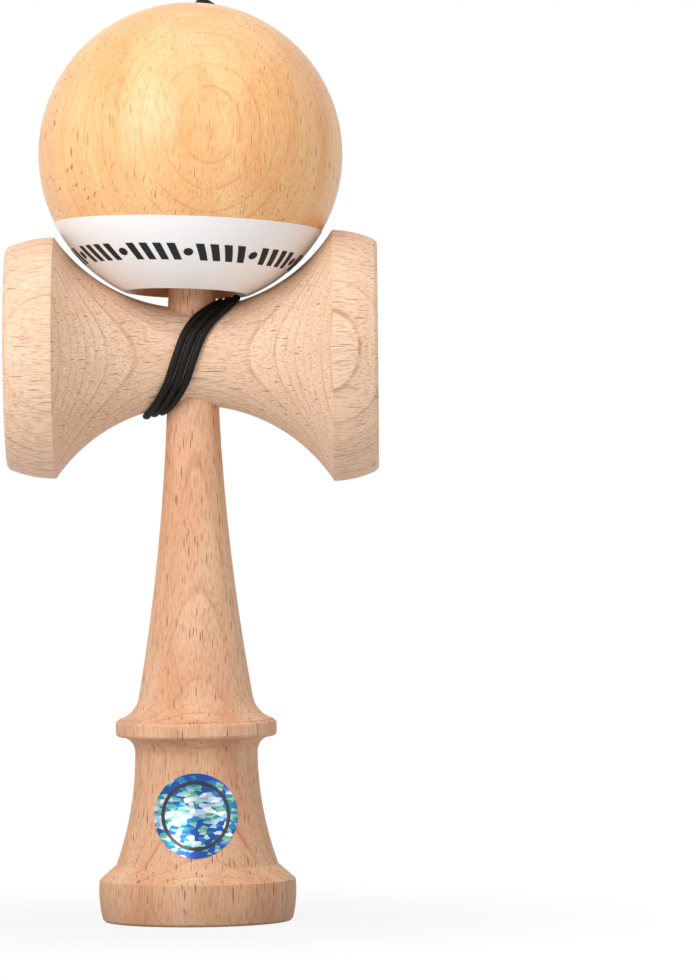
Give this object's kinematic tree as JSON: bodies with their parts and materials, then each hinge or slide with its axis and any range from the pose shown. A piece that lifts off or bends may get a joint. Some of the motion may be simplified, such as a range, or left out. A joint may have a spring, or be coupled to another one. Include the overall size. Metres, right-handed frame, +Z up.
{
  "type": "kendama",
  "caption": "Wooden cup-and-ball toy: a turned handle with a base cup and a spike, a cross piece with cups, and a drilled ball on a string that lifts off the spike and spins.",
  "frame": {"origin": "on the handle's axis in the plane of the base rim", "axes": "+Z up along the handle to the spike, +X along the cross piece to the big cup, -Y to the front"},
  "size_m": [0.0732, 0.06, 0.1824],
  "materials": {
    "raw_beech": "sanded, unfinished",
    "lacquered_beech": "clear gloss lacquer",
    "white_paint": "gloss paint",
    "bead_wood": "satin",
    "black_cord": "braided nylon",
    "foil_sticker": "rainbow foil"
  },
  "bodies": {
    "ken": {"ken": "raw_beech", "sarado": "raw_beech", "base_sticker": "foil_sticker", "ken_knot": "black_cord", "string_in_ken": "black_cord", "string_winding": "black_cord", "string_run": "black_cord"},
    "tether": {"bead": "bead_wood", "bead_knot": "black_cord", "string_in_tama": "black_cord"},
    "tama": {"tama": "lacquered_beech", "tama_paint_band": "white_paint"}
  },
  "joints": [
    {"name": "tama_lift", "type": "slide", "parent": "ken", "child": "tether", "axis": [0, 0, 1], "range_m": [0, 0.045], "deforming": ["string_run"]},
    {"name": "tama_spin", "type": "hinge", "parent": "tether", "child": "tama", "pos_m": [0, 0, 0.15129], "axis": [0.0396, 0.0777, 0.9962], "continuous": true}
  ]
}
